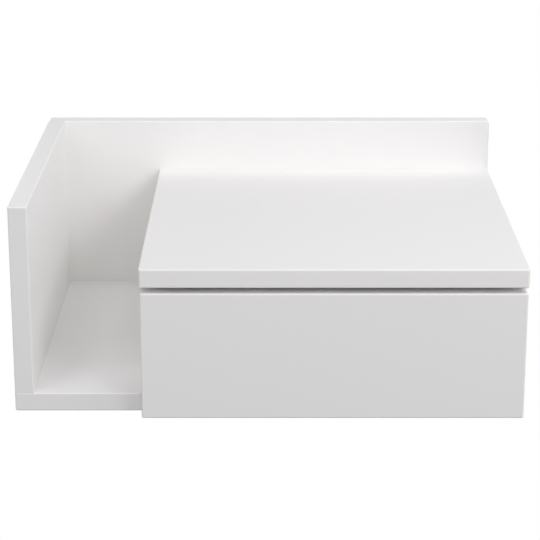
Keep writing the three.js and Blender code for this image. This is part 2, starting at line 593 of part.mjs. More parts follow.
// Bumpers on the back of the drawer front, where it closes against the uprights
const bumperLength = FRONT_GAP - SEAM * 2;
const bumper = turned([[0, 0], [BUMPER_RADIUS, 0], [BUMPER_RADIUS, bumperLength], [0, bumperLength]]);
for (const [side, x] of [["left", UPRIGHT_MIDDLES.divider], ["right", UPRIGHT_MIDDLES.right_side]]) {
  const at = point(x, BOX_FRONT, TOP_UNDERSIDE - BUMPER_DROP);
  add(cabinet, `${side}_bumper`, bumper, softPad, facing(at, Y));
}

export default cabinet;
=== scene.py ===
"""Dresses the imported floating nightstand: rounded and drilled boards, screws, runners, hangers and
finishes, with the studio that it is shown in. Metres, X to the right, Y back to the wall, Z up."""

import json
import math
from collections import namedtuple

import bmesh
import bpy
from bpy.props import FloatProperty, FloatVectorProperty, IntProperty, PointerProperty
from mathutils import Matrix, Vector


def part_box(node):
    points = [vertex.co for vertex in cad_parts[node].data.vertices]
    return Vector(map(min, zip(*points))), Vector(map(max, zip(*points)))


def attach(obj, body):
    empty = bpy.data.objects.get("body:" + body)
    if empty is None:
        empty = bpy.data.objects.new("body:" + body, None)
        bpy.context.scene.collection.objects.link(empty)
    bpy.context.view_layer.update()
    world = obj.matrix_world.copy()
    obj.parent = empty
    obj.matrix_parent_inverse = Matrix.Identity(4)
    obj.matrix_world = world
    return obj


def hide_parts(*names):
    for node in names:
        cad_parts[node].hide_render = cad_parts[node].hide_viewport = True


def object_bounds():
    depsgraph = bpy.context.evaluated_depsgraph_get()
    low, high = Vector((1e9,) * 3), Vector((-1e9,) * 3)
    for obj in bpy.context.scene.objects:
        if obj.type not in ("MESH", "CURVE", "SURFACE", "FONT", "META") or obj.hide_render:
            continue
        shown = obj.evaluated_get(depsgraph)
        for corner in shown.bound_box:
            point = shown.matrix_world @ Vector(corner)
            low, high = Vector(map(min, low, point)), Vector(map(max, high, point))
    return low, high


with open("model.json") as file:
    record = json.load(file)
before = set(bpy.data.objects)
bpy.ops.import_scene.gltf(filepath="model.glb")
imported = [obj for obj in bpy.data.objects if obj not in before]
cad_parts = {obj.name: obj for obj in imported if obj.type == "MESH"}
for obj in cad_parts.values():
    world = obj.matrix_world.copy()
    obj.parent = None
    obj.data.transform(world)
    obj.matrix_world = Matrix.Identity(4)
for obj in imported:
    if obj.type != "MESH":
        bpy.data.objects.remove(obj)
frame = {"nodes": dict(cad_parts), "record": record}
cad_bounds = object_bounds()

bl_info = {
    "name": "Floating Nightstand",
    "version": (1, 0, 0),
    "blender": (4, 5, 0),
    "location": "3D View > Sidebar > Nightstand",
    "description": "Boards, fittings, finishes and studio of a wall-hung nightstand",
    "category": "Object",
}

X = Vector((1, 0, 0))
Y = Vector((0, 1, 0))
Z = Vector((0, 0, 1))
FACES = {"left": -X, "right": X, "front": -Y, "rear": Y, "under": -Z, "top": Z}
MIDDLE = (cad_bounds[0] + cad_bounds[1]) / 2


# Sizes and colours that can be changed in the sidebar


def length(name, description, default):
    return FloatProperty(
        name=name, description=description, default=default, min=0, unit="LENGTH", precision=5
    )


def share(name, description, default):
    return FloatProperty(name=name, description=description, default=default, min=0, max=1)


def watts(name, description, default):
    return FloatProperty(name=name, description=description, default=default, min=0, unit="POWER")


def count(name, description, default, least):
    return IntProperty(name=name, description=description, default=default, min=least, max=96)


def colour(name, description, default):
    return FloatVectorProperty(
        name=name, description=description, default=(*default, 1), size=4, min=0, max=1, subtype="COLOR"
    )


class BoardSizes(bpy.types.PropertyGroup):
    edge_round: length("Edge round", "Radius of the lacquered edges that show", 0.0012)
    seam_round: length("Seam round", "Radius of the edges that lie against another board", 0.00012)
    back_corner: length("Back corner", "Radius of the back's corners, seen from the front", 0.0028)
    top_corner: length("Top corner", "Radius of the top board's corners, seen from above", 0.0022)
    front_round: length("Front round", "Radius of the edges of the drawer front", 0.0013)
    box_round: length("Box round", "Radius of the edges of the drawer box", 0.0008)
    round_segments: count("Segments", "Faces across each rounded edge", 6, 1)


class FittingSizes(bpy.types.PropertyGroup):
    clearance: length("Clearance", "Gap between a fastener and its hole, and round a let-in plate", 0.0003)
    sides: count("Sides", "Faces round a screw head, a hole or a pad", 40, 12)
    steel: length("Runner steel", "Thickness of the runners' steel", 0.001)
    bend: length("Runner bend", "Radius of the runners' bends at the middle of the steel", 0.0011)
    lip: length("Runner lip", "Length of the lips that hold the balls in the case members", 0.002)
    cage_steel: length("Cage steel", "Thickness of the ball cage's steel", 0.0006)
    ball_radius: length("Ball radius", "Radius of the runners' balls", 0.002)
    ball_pitch: length("Ball pitch", "Distance between the balls of a row", 0.009)
    cage_margin: length("Cage margin", "Distance from the cage's end to its last ball", 0.004)
    slot_length: length("Slot length", "Length of the spare slots in the runners", 0.010)
    slot_width: length("Slot width", "Width of the spare slots in the runners", 0.0042)
    plate_round: length("Plate corner", "Radius of a hanger plate's corners", 0.003)
    plate_edge: length("Plate edge", "Radius of a hanger plate's stamped edges", 0.00025)
    entry_radius: length("Keyhole entry", "Radius of the round entry of a keyhole", 0.00475)
    slot_radius: length("Keyhole slot", "Half the width of a keyhole's slot", 0.0025)
    keyhole_rise: length("Keyhole rise", "From the middle of the entry to the slot's upper end", 0.010)
    pocket_depth: length("Pocket depth", "Room behind a hanger plate", 0.008)


class Finishes(bpy.types.PropertyGroup):
    lacquer: colour("Lacquer", "Satin white lacquer of the boards", (0.87, 0.861, 0.84))
    laminate: colour("Laminate", "White laminate of the drawer box", (0.79, 0.785, 0.765))
    edging: colour("Edging", "Glued-on edging of the drawer box", (0.83, 0.825, 0.81))
    hardboard: colour("Hardboard face", "White face of the drawer's floor", (0.76, 0.75, 0.73))
    fibre: colour("Hardboard fibre", "Bare underside of the drawer's floor", (0.27, 0.165, 0.09))
    fibreboard: colour("Raw fibreboard", "Cut faces inside the case boards", (0.5, 0.36, 0.22))
    chipboard: colour("Raw chipboard", "Cut faces inside the drawer box", (0.48, 0.35, 0.2))
    zinc: colour("Zinc plating", "Bright plating of the runners and hangers", (0.45, 0.475, 0.5))
    casting: colour("Zinc casting", "Raw casting of the cam fittings", (0.38, 0.39, 0.41))
    screw: colour("Screw plating", "Plating of the screws and bolts", (0.63, 0.61, 0.53))
    ball: colour("Ball steel", "Polished steel of the balls", (0.66, 0.67, 0.68))
    pad: colour("Pad", "Clear plastic of the bumpers", (0.82, 0.85, 0.85))
    floor: colour("Floor", "Pale studio floor", (0.78, 0.78, 0.78))


class Studio(bpy.types.PropertyGroup):
    floor_drop: length("Floor drop", "From the underside of the cabinet down to the floor", 0.5)
    floor_radius: length("Floor radius", "Radius of the round floor", 4.0)
    fade_start: length("Fade start", "Distance at which the floor starts to turn white", 0.15)
    fade_end: length("Fade end", "Distance at which the floor is white", 0.64)
    fade_share: share("Fade share", "Share of white in the floor under the object", 0.4)
    sky: share("Sky", "Strength of the even light from all round", 0.235)
    sky_tint: colour("Sky tint", "Colour of the even light and of the softbox above", (0.935, 0.938, 1))
    lamp_tint: colour("Lamp tint", "Colour of the other softboxes", (0.985, 0.976, 1))
    overhead: watts("Overhead", "Softbox above", 8.9)
    front: watts("Front", "Low softbox in front", 8.2)
    left_front: watts("Left front", "Tall softbox at the front left", 10.5)
    right_front: watts("Right front", "Softbox at the front right", 12.4)
    right_low: watts("Right low", "Low softbox at the right", 5.4)
    right_high: watts("Right high", "High softbox at the right", 14.3)
    left_side: watts("Left side", "Low softbox at the left, a little behind", 13.4)
    rear: watts("Rear", "Low softbox behind", 18)


# Boards: the edges that lie against another board, each named by one or both of its faces, and the
# starts of the names of the screws that go through
CASE_BOARDS = {
    "back_panel": ([], ["back_to_", "left_hanger_", "right_hanger_"]),
    "bottom_board": (["rear", "left top", "right top"], ["bottom_to_", "back_to_bottom"]),
    "left_side_panel": (["rear", "under"], ["bottom_to_left_side", "back_to_left_side"]),
    "divider_panel": (
        ["rear", "under", "top"],
        ["bottom_to_divider", "back_to_divider", "left_runner_case"],
    ),
    "right_side_panel": (
        ["rear", "under", "top"],
        ["bottom_to_right_side", "back_to_right_side", "right_runner_case"],
    ),
    "top_board": (["rear"], ["back_to_top"]),
}
BOX_BOARDS = {
    "drawer_left_side": ([], ["left_runner_drawer"]),
    "drawer_right_side": ([], ["right_runner_drawer"]),
    "drawer_inner_front": (["left", "right"], ["drawer_front_"]),
    "drawer_back": (["left", "right"], []),
}

# Screws, from the face of a flat head or the seat of a domed head to the tip. Rise is the head's height.
Screw = namedtuple("Screw", "head rise shank length tip domed")
SCREW_KINDS = {
    "case": Screw(0.004, 0.0032, 0.0025, 0.045, 0.004, False),
    "hanger": Screw(0.0029, 0.0015, 0.0014, 0.011, 0.003, False),
    "runner": Screw(0.0032, 0.0018, 0.0016, 0.012, 0.003, False),
    "drawer": Screw(0.0034, 0.002, 0.0016, 0.01, 0.003, True),
    "front": Screw(0.004, 0.0024, 0.002, 0.021, 0.004, True),
}
SCREW_INPUTS = (
    ("Head Radius", "Head Height", "Shank Radius", "Length", "Tip")
    + ("Recess Reach", "Recess Width", "Recess Depth")
)
# Profiles of the two heads, and the blunt end of the tip: shares of radius and height
FLAT_HEAD = [(0.0, 0.0), (0.95, 0.0), (1.0, 0.05), (1.0, 0.1)]
DOMED_HEAD = [(0.0, -1.0), (0.4, -0.97), (0.7, -0.82), (0.9, -0.6), (1.0, -0.3), (1.0, -0.04), (0.97, 0.0)]
SCREW_END = (0.25, 0.985)
# Cross recess: shares of the head's radius and height, and how much it narrows over its depth
RECESS_REACH, RECESS_WIDTH, RECESS_DEPTH, RECESS_TAPER = 0.56, 0.13, 0.6, 0.35

# Spare slots along a runner, where 0 is the front screw and 1 the rear one
SLOT_STATIONS = (-0.2, 0.25, 0.5, 0.75, 1.2, 1.5)
# Radius of a ball's hole in its cage, as a share of the ball's, and faces round a ball
BALL_PLAY, BALL_SEGMENTS = 1.06, 20
# Room behind a hanger plate's steel, room of its pocket round the keyhole, and that pocket's corners
PLATE_GAP, POCKET_MARGIN, POCKET_ROUND = 0.0001, 0.001, 0.002
# Radius of a bumper's foot, and height of its straight wall, as shares of its radius and height
PAD_FOOT, PAD_WALL = 0.96, 0.2

# How far a cutter stands out of the face that it opens, and how close two points are one
OVERCUT, WELD_DISTANCE = 0.004, 0.000004
# Edges that turn by more than this look crisp, and on a stamped plate they are rounded
SHARP_ANGLE, BEVEL_ANGLE = math.radians(32), math.radians(50)

# White films: colour, sizes of the ripple, mottle and specks, least and most roughness, depth of the
# ripple, and how far the shade wanders
FILMS = {
    "satin_lacquer": ("lacquer", (0.0035, 0.09, 0.011), (0.5, 0.58), 0.000007, 0.008),
    "box_laminate": ("laminate", (0.0009, 0.03, 0.004), (0.46, 0.58), 0.00002, 0.015),
    "box_edging": ("edging", (0.0006, 0.02, 0.005), (0.36, 0.46), 0.000008, 0.01),
    "hardboard_face": ("hardboard", (0.0006, 0.012, 0.003), (0.5, 0.66), 0.00003, 0.025),
    "soft_pad": ("pad", (0.001, 0.004, 0.002), (0.25, 0.4), 0.00002, 0.03),
}
FILM_GLOSS = 0.3
# Specks in a film: how strongly they show, their shade, and their reach as a share of their distance
SPECK_STRENGTH, SPECK_SHADE, SPECK_REACH = 0.12, 0.7, 0.05
PAD_PLASTIC = {"Transmission Weight": 0.35, "IOR": 1.48, "Specular IOR Level": 0.5}
# Metals: colour, width and length of the streaks and size of the clouds, then as above
METALS = {
    "zinc_plating": ("zinc", (0.0005, 0.05, 0.012), (0.24, 0.4), 0.000006, 0.1),
    "zinc_casting": ("casting", (0.0008, 0.001, 0.002), (0.4, 0.6), 0.00003, 0.12),
    "screw_plating": ("screw", (0.0006, 0.002, 0.003), (0.22, 0.38), 0.000006, 0.1),
    "ball_steel": ("ball", (0.001, 0.001, 0.002), (0.08, 0.14), 0.000001, 0.03),
}
# Raw boards: colour, chips along a metre, and how far the shade wanders
RAW_BOARDS = {"raw_fibreboard": ("fibreboard", 1400.0, 0.25), "raw_chipboard": ("chipboard", 500.0, 0.5)}
CHIP_DEPTH = 0.0001
# Bare hardboard: fibres along a metre, darkest and lightest shade, and the mark of the press's mesh
FIBRES, FIBRE_SHADES, PRESS_PITCH, PRESS_DEPTH = 900.0, (0.7, 1.35), 0.0016, 0.00012
# Nearly all of a noise, of the streaks and of the chips' tone lies between these
NOISE_SPAN, STREAK_SPAN, CHIP_SPAN = (0.3, 0.7), (0.25, 0.75), (0.05, 0.45)

# Softboxes: degrees to the right of the front, degrees up, width and height
LAMPS = {
    "overhead": (0, 89, 1.4, 1.4),
    "front": (0, 10, 1.0, 1.0),
    "left_front": (-40, 37, 1.0, 1.5),
    "right_front": (40, 28, 1.0, 1.0),
    "right_low": (75, 10, 1.0, 1.0),
    "right_high": (75, 48, 1.0, 1.0),
    "left_side": (-105, 5, 1.0, 1.0),
    "rear": (172, -9, 1.8, 0.8),
}
LAMP_DISTANCE = 2.2
# Camera: focal length in millimetres, place, and degrees that it looks down
LENS, CAMERA_PLACE, CAMERA_PITCH = 127.26, (0.001, -1.7082, 0.4781), 17.58


def box(node):
    """Lowest corner, highest corner and middle of a plain solid"""
    low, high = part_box(node)
    return low, high, (low + high) / 2


def screw_place(node):
    """Kind of a screw, the middle of its head's face or seat, and the way it is driven"""
    outward = -X if node.startswith("left") else X
    if node.startswith("bottom_to_"):
        kind, into = "case", Z
    elif node.startswith("back_to_"):
        kind, into = "case", -Y
    elif "_hanger_" in node:
        kind, into = "hanger", -Y
    elif "_runner_case_" in node:
        kind, into = "runner", outward
    elif "_runner_drawer_" in node:
        kind, into = "drawer", -outward
    else:
        kind, into = "front", -Y
    low, high, point = box(node)
    size = SCREW_KINDS[kind]
    axis = next(i for i in range(3) if abs(into[i]) > 0.5)
    start = low[axis] if into[axis] > 0 else high[axis]
    point[axis] = start + into[axis] * (size.rise if size.domed else 0)
    return kind, point, into


SCREWS = {node: screw_place(node) for node in sorted(frame["nodes"]) if node.endswith("_screw")}
BODY_OF = {node: body for body, nodes in frame["record"]["behaviour"]["bodies"].items() for node in nodes}


# Meshes


def object_from(name, shape):
    """An object at the origin that holds a bmesh, which is freed"""
    mesh = bpy.data.meshes.new(name)
    shape.to_mesh(mesh)
    shape.free()
    made = bpy.data.objects.new(name, mesh)
    bpy.context.scene.collection.objects.link(made)
    return made


def settle(made):
    """Turns an object's modifiers into a plain mesh"""
    graph = bpy.context.evaluated_depsgraph_get()
    mesh = bpy.data.meshes.new_from_object(made.evaluated_get(graph), depsgraph=graph)
    made.modifiers.clear()
    old = made.data
    made.data = mesh
    mesh.name = made.name
    bpy.data.meshes.remove(old)


def round_edges(made, method, radius, segments):
    """Rounds the edges that have a weight, or those that turn by a sharp angle"""
    bevel = made.modifiers.new("Rounds", "BEVEL")
    bevel.limit_method = method
    bevel.angle_limit = BEVEL_ANGLE
    bevel.width = radius
    bevel.segments = segments
    settle(made)


def weld(made):
    """Joins points that lie on one another, and takes out the faces that this flattens"""
    shape = bmesh.new()
    shape.from_mesh(made.data)
    bmesh.ops.remove_doubles(shape, verts=shape.verts, dist=WELD_DISTANCE)
    bmesh.ops.dissolve_degenerate(shape, edges=shape.edges, dist=WELD_DISTANCE)
    shape.to_mesh(made.data)
    shape.free()


def facing(point, direction):
    """Stands something drawn about Z at a point, with its Z along a direction"""
    turn = Z.rotation_difference(direction) if direction.dot(Z) > -0.999 else X.rotation_difference(-X)
    return Matrix.Translation(point) @ turn.to_matrix().to_4x4()


def rod(radius, start, end):
    """Profile of a plain round rod"""
    return [(0, start), (radius, start), (radius, end), (0, end)]


def add_turned(shape, profile, place, sides):
    """Adds a solid turned about Z, from a profile of radius and height that starts and ends at radius 0"""
    rings = []
    for radius, height in profile:
        angles = [2 * math.pi * step / sides for step in range(sides if radius > 0 else 1)]
        points = [Vector((radius * math.cos(a), radius * math.sin(a), height)) for a in angles]
        rings.append([shape.verts.new(place @ point) for point in points])
    faces = []
    for lower, upper in zip(rings, rings[1:]):
        for step in range(sides):
            around = ((lower, step), (lower, step + 1), (upper, step + 1), (upper, step))
            corners = dict.fromkeys(ring[number % len(ring)] for ring, number in around)
            faces.append(shape.faces.new(list(corners)))
    bmesh.ops.recalc_face_normals(shape, faces=faces)


def add_prism(shape, outline, start, end, place=Matrix.Identity(4), axis=1):
    """Adds an outline in two directions, drawn out along the third: 0 for X, 1 for Y"""
    first, last = [
        [shape.verts.new(place @ Vector((*spot[:axis], height, *spot[axis:]))) for spot in outline]
        for height in (start, end)
    ]
    faces = [shape.faces.new(first), shape.faces.new(last)]
    for step in range(len(outline)):
        after = (step + 1) % len(outline)
        faces.append(shape.faces.new([first[step], first[after], last[after], last[step]]))
    bmesh.ops.recalc_face_normals(shape, faces=faces)


def arc(x, y, radius, start, end, steps):
    """Points of an arc, with its angles in degrees"""
    angles = [math.radians(start + (end - start) * step / steps) for step in range(steps + 1)]
    return [(x + radius * math.cos(a), y + radius * math.sin(a)) for a in angles]


def rounded_rectangle(x, z, radius, steps=8):
    """A rectangle about the origin, half x by half z"""
    a, b = x - radius, z - radius
    corners = ((-a, -b, 180), (a, -b, 270), (a, b, 0), (-a, b, 90))
    return [spot for p, q, start in corners for spot in arc(p, q, radius, start, start + 90, steps)]


def strip_outline(path, thickness, bend, steps=6):
    """Outline of a bent strip of steel, from the middle line of its section"""
    line = [(path[0], (path[1] - path[0]).normalized())]
    for before, here, after in zip(path, path[1:], path[2:]):
        first, second = (here - before).normalized(), (after - here).normalized()
        turn = math.atan2(first.cross(second), first.dot(second))
        run = bend * math.tan(abs(turn) / 2)
        normal = Vector((-first.y, first.x)) * math.copysign(1, turn)
        centre = here - first * run + normal * bend
        for step in range(steps + 1):
            spin = Matrix.Rotation(turn * step / steps, 2)
            line.append((centre + spin @ (-normal * bend), spin @ first))
    line.append((path[-1], (path[-1] - path[-2]).normalized()))
    near, far = [
        [spot + Vector((-way.y, way.x)) * thickness / 2 * side for spot, way in line] for side in (1, -1)
    ]
    return near + far[::-1]


def bent_strip(node, upper, thickness, bend):
    """A bent steel strip in its solid's place, from the upper half of its section's middle line"""
    low, high, middle = box(node)
    path = [Vector(spot) for spot in (*upper, *((x, -z) for x, z in reversed(upper)))]
    shape = bmesh.new()
    outline = strip_outline(path, thickness, bend)
    add_prism(shape, outline, low.y, high.y, Matrix.Translation((0, 0, middle.z)))
    made = object_from(f"{node}_bent", shape)
    add_material(made, "zinc_plating")
    return made


def eased_box(node, made_as, skin, sizes, ease, corner=None, seams=()):
    """A board in its solid's place, in one material, with rounded edges. Corner is the radius of the edges
    across its thickness, where it isn't ease. An edge named in seams is only broken."""
    low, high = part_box(node)
    spans = [high[i] - low[i] for i in range(3)]
    thin = spans.index(min(spans))
    shape = bmesh.new()
    bmesh.ops.create_cube(shape, size=1)
    for vert in shape.verts:
        vert.co = [(low[i] + high[i]) / 2 + vert.co[i] * spans[i] for i in range(3)]
    shape.normal_update()
    weights = shape.edges.layers.float.new("bevel_weight_edge")
    radii = {}
    for edge in shape.edges:
        ways = [face.normal for face in edge.link_faces]
        names = {name for name, way in FACES.items() if any(normal.dot(way) > 0.5 for normal in ways)}
        if any(set(seam.split()) <= names for seam in seams):
            radii[edge] = sizes.seam_round
        elif corner is not None and all(abs(FACES[name][thin]) < 0.5 for name in names):
            radii[edge] = corner
        else:
            radii[edge] = ease
    widest = max(radii.values())
    for edge, radius in radii.items():
        edge[weights] = radius / widest
    made = object_from(f"{node}_{made_as}", shape)
    add_material(made, skin)
    round_edges(made, "WEIGHT", widest, sizes.round_segments)
    return made


def cut(made, cutter, inside=None):
    """Takes a bmesh out of an object, and gives the new faces the material of the inside"""
    tool = object_from("cutter", cutter)
    boolean = made.modifiers.new("Cut", "BOOLEAN")
    boolean.operation = "DIFFERENCE"
    boolean.solver = "EXACT"
    boolean.use_self = True
    if inside:
        add_material(tool, inside)
        boolean.material_mode = "TRANSFER"
    boolean.object = tool
    settle(made)
    mesh = tool.data
    bpy.data.objects.remove(tool)
    bpy.data.meshes.remove(mesh)


def add_screw_holes(shape, starts):
    """Adds a hole for every screw named: countersunk for a flat head, straight under a domed one"""
    fittings = bpy.context.scene.nightstand_fittings
    gap = fittings.clearance
    for node, (kind, point, into) in SCREWS.items():
        if not node.startswith(tuple(starts)):
            continue
        size = SCREW_KINDS[kind]
        head, shank, end = size.head + gap, size.shank + gap, size.length + gap
        profile = rod(shank, -OVERCUT, end)
        if not size.domed:
            profile[1:2] = [(head, -OVERCUT), (head, 0), (shank, size.rise)]
        add_turned(shape, profile, facing(point, into), fittings.sides)


def add_material(made, name):
    """Adds a material to a piece where it isn't there yet, and says its number"""
    names = [material.name for material in made.data.materials]
    if name not in names:
        made.data.materials.append(bpy.data.materials[name])
        names.append(name)
    return names.index(name)


def stand_in(made, slot, *nodes):
    """Shades a finished mesh, crisp where it turns sharply, and puts it in place of its plain solids"""
    made.data.polygons.foreach_set("use_smooth", [True] * len(made.data.polygons))
    made.data.set_sharp_from_angle(angle=SHARP_ANGLE)
    weighted = made.modifiers.new("Weighted normals", "WEIGHTED_NORMAL")
    weighted.keep_sharp = True
    weighted.weight = 100
    settle(made)
    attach(made, BODY_OF[nodes[0]])
    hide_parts(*nodes)


def complete(made, slot, node, screws, inside=None, cutter=None):
    """Takes the screw holes, and what a cutter adds, out of a piece, and puts it in its solid's place"""
    cutter = cutter or bmesh.new()
    add_screw_holes(cutter, screws)
    cut(made, cutter, inside)
    stand_in(made, slot, node)


# Node trees


def link(tree, value, socket):
    """Gives an input a value, or links it to a socket or to a node's first output"""
    if isinstance(value, bpy.types.Node):
        value = value.outputs[0]
    if isinstance(value, bpy.types.NodeSocket):
        tree.links.new(value, socket)
    else:
        socket.default_value = value


def wire(tree, kind, inputs=(), **settings):
    """Adds a node, with its settings and what goes into it"""
    made = tree.nodes.new(kind)
    for key, value in settings.items():
        setattr(made, key, value)
    for key, value in dict(inputs).items():
        for each in value if isinstance(value, list) else [value]:
            link(tree, each, made.inputs[key])
    return made


def math_node(tree, operation, *values):
    return wire(tree, "ShaderNodeMath", dict(enumerate(values)), operation=operation).outputs[0]


def vector_node(tree, operation, *values):
    return wire(tree, "ShaderNodeVectorMath", dict(enumerate(values)), operation=operation).outputs[0]


def combine(tree, x=0.0, y=0.0, z=0.0):
    return wire(tree, "ShaderNodeCombineXYZ", {0: x, 1: y, 2: z}).outputs[0]


def noise(tree, at, scale, detail, roughness=0.5):
    given = {"Vector": at, "Scale": scale, "Detail": detail, "Roughness": roughness}
    return wire(tree, "ShaderNodeTexNoise", given).outputs["Fac"]


def ranged(tree, value, low, high, start=0.0, end=1.0, kind="LINEAR"):
    given = {"Value": value, "From Min": start, "From Max": end, "To Min": low, "To Max": high}
    return wire(tree, "ShaderNodeMapRange", given, interpolation_type=kind).outputs["Result"]


def mix_colours(tree, factor, first, second):
    """First where the factor is 0, second where it is 1"""
    mixed = wire(tree, "ShaderNodeMix", {0: factor}, data_type="RGBA")
    for socket, value in zip([s for s in mixed.inputs if s.type == "RGBA"], (first, second)):
        link(tree, value, socket)
    return next(s for s in mixed.outputs if s.type == "RGBA")


def new_tree(name, kind, inputs, outputs):
    """A node group, with the sockets of its two ends. An input's default says its kind, and one without
    a default is named for its kind."""
    kinds = {float: "NodeSocketFloat", int: "NodeSocketInt"}
    tree = bpy.data.node_groups.new(name, kind)
    for way, sockets in (("INPUT", inputs), ("OUTPUT", outputs)):
        for label, default in sockets.items():
            socket_type = kinds.get(type(default), f"NodeSocket{label}")
            socket = tree.interface.new_socket(label, in_out=way, socket_type=socket_type)
            if default:
                socket.default_value = default
    return tree, tree.nodes.new("NodeGroupInput").outputs, tree.nodes.new("NodeGroupOutput").inputs


def end_tree(tree, instances, material, result):
    """Ends a geometry tree with real faces in one material"""
    real = wire(tree, "GeometryNodeRealizeInstances", {"Geometry": instances})
    link(tree, wire(tree, "GeometryNodeSetMaterial", {"Geometry": real, "Material": material}), result)
    return tree


def apply_tree(made, tree, values):
    """Runs a geometry tree on an object with its named inputs, and keeps the plain mesh"""
    modifier = made.modifiers.new(tree.name, "NODES")
    modifier.node_group = tree
    for item in tree.interface.items_tree:
        if item.name in values:
            modifier[item.identifier] = values[item.name]
    settle(made)
    while made.data.materials[0] is None:
        made.data.materials.pop(index=0)


# Finishes


def object_place(tree):
    return wire(tree, "ShaderNodeTexCoord").outputs["Object"]


def mask_group(name, sizes, masks):
    """A shader group from sizes to masks: its tree and outputs, the place, and one over each size"""
    tree, given, result = new_tree(name, "ShaderNodeTree", sizes, dict.fromkeys(masks, 0.0))
    scales = [math_node(tree, "DIVIDE", 1.0, given[label]) for label in sizes]
    return tree, result, object_place(tree), scales


def paint_film():
    """Shader group: the faint ripple, mottle and specks of a sprayed or pressed film"""
    sizes = {"Ripple Size": 0.003, "Mottle Size": 0.08, "Speck Size": 0.006}
    tree, result, at, scales = mask_group("Paint Film", sizes, ("Height", "Mottle", "Specks"))
    ripples, mottles, specks = scales
    cells = wire(tree, "ShaderNodeTexVoronoi", {"Vector": at, "Scale": specks}).outputs["Distance"]
    link(tree, noise(tree, at, ripples, 2.0, 0.4), result["Height"])
    link(tree, noise(tree, at, mottles, 4.0, 0.6), result["Mottle"])
    link(tree, ranged(tree, cells, 1.0, 0.0, 0.0, SPECK_REACH), result["Specks"])
    return tree


def metal_grain():
    """Shader group: drawn streaks along Y, cloudy plating and fine grain"""
    sizes = {"Streak Width": 0.0004, "Streak Length": 0.03, "Cloud Size": 0.02}
    tree, result, at, scales = mask_group("Metal Grain", sizes, ("Streaks", "Clouds", "Height"))
    narrow, long, cloud = scales
    stretched = vector_node(tree, "MULTIPLY", at, combine(tree, narrow, long, narrow))
    streaks, clouds = noise(tree, stretched, 1.0, 2.0), noise(tree, at, cloud, 6.0, 0.65)
    link(tree, streaks, result["Streaks"])
    link(tree, clouds, result["Clouds"])
    link(tree, math_node(tree, "ADD", streaks, clouds), result["Height"])
    return tree


def new_material(name):
    """A material's node tree and its Principled shader"""
    material = bpy.data.materials.new(name)
    material.use_nodes = True
    return material.node_tree, material.node_tree.nodes["Principled BSDF"]


def tinted(base, part):
    """A colour made lighter or darker by a share of itself"""
    return (*[min(1, value * part) for value in base[:3]], 1)


def shaded(tree, factor, base, first, second):
    return mix_colours(tree, factor, tinted(base, first), tinted(base, second))


def dress(tree, shader, base, roughness, height, depth):
    """Gives a shader its colour and roughness, and its relief from a height"""
    relief = wire(tree, "ShaderNodeBump", {"Height": height, "Distance": depth, "Strength": 1.0})
    link(tree, base, shader.inputs["Base Color"])
    link(tree, roughness, shader.inputs["Roughness"])
    link(tree, relief, shader.inputs["Normal"])


def film_material(name, base, film, sizes, gloss, depth, spread):
    """A painted or pressed white surface"""
    tree, shader = new_material(name)
    masks = wire(tree, "ShaderNodeGroup", dict(enumerate(sizes)), node_tree=film).outputs
    mottled = shaded(tree, masks["Mottle"], base, 1 - spread, 1 + spread)
    specks = math_node(tree, "MULTIPLY", masks["Specks"], SPECK_STRENGTH)
    specked = mix_colours(tree, specks, mottled, tinted(base, SPECK_SHADE))
    roughness = ranged(tree, masks["Mottle"], *gloss, *NOISE_SPAN)
    dress(tree, shader, specked, roughness, masks["Height"], depth)
    shader.inputs["Specular IOR Level"].default_value = FILM_GLOSS
    return shader


def metal_material(name, base, grain, sizes, gloss, depth, spread):
    """A plated, cast or drawn metal surface"""
    tree, shader = new_material(name)
    masks = wire(tree, "ShaderNodeGroup", dict(enumerate(sizes)), node_tree=grain).outputs
    cloud = ranged(tree, masks["Clouds"], 0.0, 1.0, *NOISE_SPAN)
    clouded = shaded(tree, cloud, base, 1 - spread, 1 + spread)
    roughness = ranged(tree, masks["Streaks"], *gloss, *STREAK_SPAN)
    dress(tree, shader, clouded, roughness, masks["Height"], depth)
    shader.inputs["Metallic"].default_value = 1


def raw_material(name, base, scale, spread):
    """A cut face of fibreboard or chipboard"""
    tree, shader = new_material(name)
    at = object_place(tree)
    chips = wire(tree, "ShaderNodeTexVoronoi", {"Vector": at, "Scale": scale}).outputs["Distance"]
    dust = noise(tree, at, scale * 3, 3.0)
    tone = math_node(tree, "MULTIPLY", chips, dust)
    mixed = shaded(tree, ranged(tree, tone, 0.0, 1.0, *CHIP_SPAN), base, 1 + spread, 1 - spread)
    dress(tree, shader, mixed, ranged(tree, dust, 0.8, 0.95), tone, CHIP_DEPTH)


def fibre_material(name, base):
    """The bare hardboard, with the mark of the press's mesh"""
    tree, shader = new_material(name)
    at = object_place(tree)
    fibres = noise(tree, at, FIBRES, 5.0, 0.7)
    mixed = shaded(tree, ranged(tree, fibres, 0.0, 1.0, *NOISE_SPAN), base, *FIBRE_SHADES)
    axes = wire(tree, "ShaderNodeSeparateXYZ", {"Vector": at}).outputs
    turns = [math_node(tree, "MULTIPLY", axes[i], 2 * math.pi / PRESS_PITCH) for i in (0, 1)]
    press = math_node(tree, "MULTIPLY", *[math_node(tree, "SINE", turn) for turn in turns])
    height = math_node(tree, "ADD", press, fibres)
    dress(tree, shader, mixed, ranged(tree, fibres, 0.7, 0.9), height, PRESS_DEPTH)


